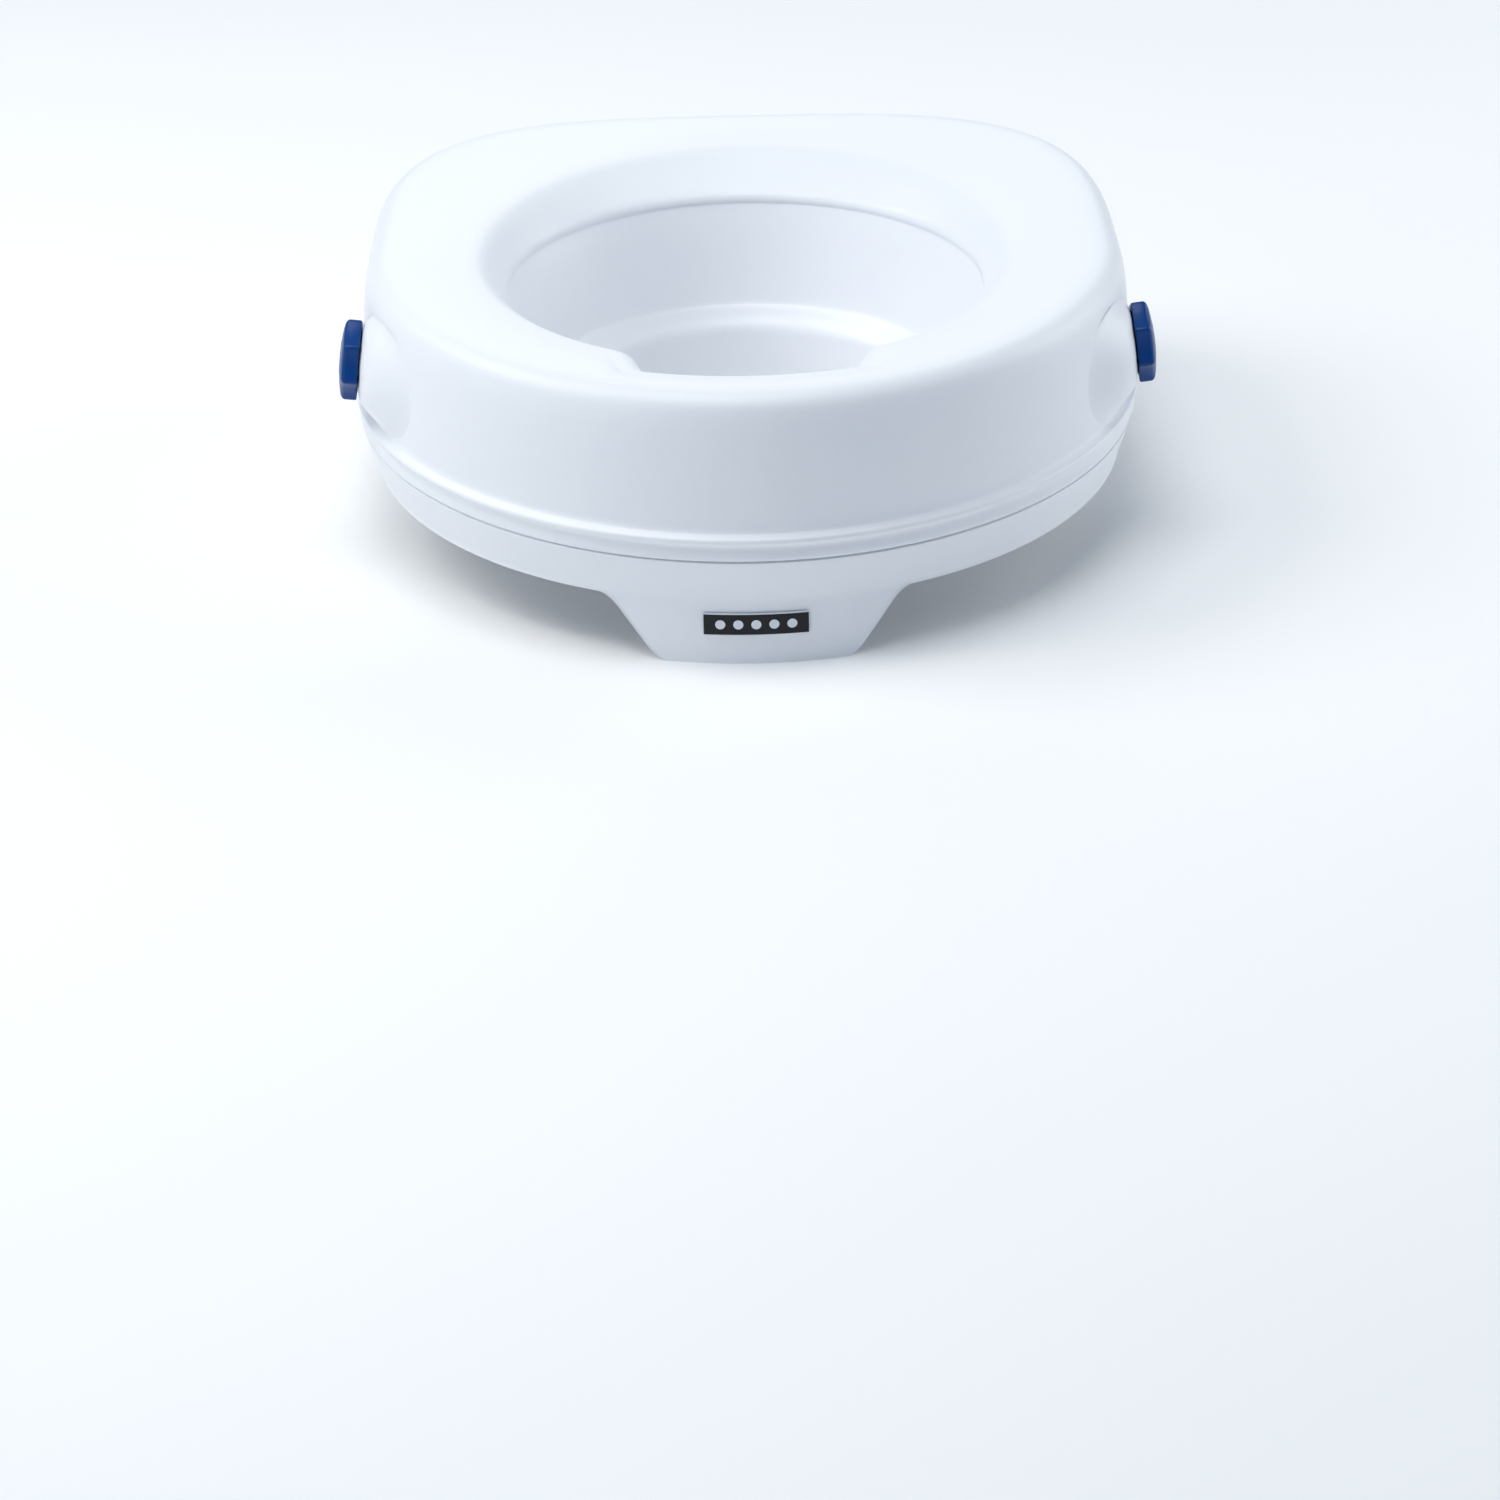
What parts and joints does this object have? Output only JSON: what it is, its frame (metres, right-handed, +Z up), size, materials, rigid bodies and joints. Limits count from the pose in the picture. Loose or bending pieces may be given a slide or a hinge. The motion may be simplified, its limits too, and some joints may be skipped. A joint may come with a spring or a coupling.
{
  "type": "raised toilet seat",
  "caption": "Raised toilet seat with a hollow moulded body, splash guard, front tab and knob-driven side clamps that grip the bowl's rim.",
  "frame": {"origin": "centre of the plane in which the four rubber feet stand on the bowl's rim", "axes": "+Z up, front of the seat towards -Y, user's left-hand side as seen from the front towards +X"},
  "size_m": [0.4078, 0.42, 0.138],
  "materials": {
    "seat_white": "satin, finely grained moulding",
    "knob_blue": "satin moulding",
    "badge_dark": "semi-gloss plate with a pale border",
    "bright_steel": "zinc plated",
    "grey_rubber": "soft, matt",
    "bush_nylon": "natural nylon"
  },
  "bodies": {
    "seat": {"seat_shell": "seat_white", "splash_guard": "seat_white", "base_plate": "seat_white", "left_wall_bush": "bush_nylon", "right_wall_bush": "bush_nylon", "foot_front_right": "grey_rubber", "foot_front_left": "grey_rubber", "foot_rear_right": "grey_rubber", "foot_rear_left": "grey_rubber", "base_screw_1": "bright_steel", "base_screw_2": "bright_steel", "base_screw_3": "bright_steel", "base_screw_4": "bright_steel", "base_screw_5": "bright_steel", "base_screw_6": "bright_steel", "bracket_screw_left": "bright_steel", "bracket_screw_right": "bright_steel", "bracket_washer_left": "bright_steel", "bracket_washer_right": "bright_steel"},
    "front_bracket": {"front_bracket": "seat_white", "badge_plate": "badge_dark"},
    "left_knob": {"left_knob": "knob_blue", "left_spindle": "bright_steel", "left_spindle_clip": "bright_steel"},
    "left_jaw": {"left_jaw": "seat_white", "left_jaw_nut": "bright_steel", "left_jaw_pad": "grey_rubber"},
    "right_knob": {"right_knob": "knob_blue", "right_spindle": "bright_steel", "right_spindle_clip": "bright_steel"},
    "right_jaw": {"right_jaw": "seat_white", "right_jaw_nut": "bright_steel", "right_jaw_pad": "grey_rubber"}
  },
  "joints": [
    {"name": "left_knob_turn", "type": "hinge", "parent": "seat", "child": "left_knob", "pos_m": [-0.18816, -0.055, 0.056], "axis": [0.9925, 0, -0.1219], "range_deg": [-720.5, 2160.5]},
    {"name": "left_jaw_slide", "type": "slide", "parent": "seat", "child": "left_jaw", "axis": [-0.9925, 0, 0.1219], "range_m": [-0.006, 0.018]},
    {"name": "right_knob_turn", "type": "hinge", "parent": "seat", "child": "right_knob", "pos_m": [0.18816, -0.055, 0.056], "axis": [-0.9925, 0, -0.1219], "range_deg": [-720.5, 2160.5]},
    {"name": "right_jaw_slide", "type": "slide", "parent": "seat", "child": "right_jaw", "axis": [0.9925, 0, 0.1219], "range_m": [-0.006, 0.018]},
    {"name": "bracket_slide", "type": "slide", "parent": "seat", "child": "front_bracket", "axis": [0, -1, 0], "range_m": [0, 0.02]}
  ],
  "couplings": [
    {"joint": "left_knob_turn", "follows": "left_jaw_slide", "rad_per_m": 2094.4},
    {"joint": "right_knob_turn", "follows": "right_jaw_slide", "rad_per_m": 2094.4}
  ]
}
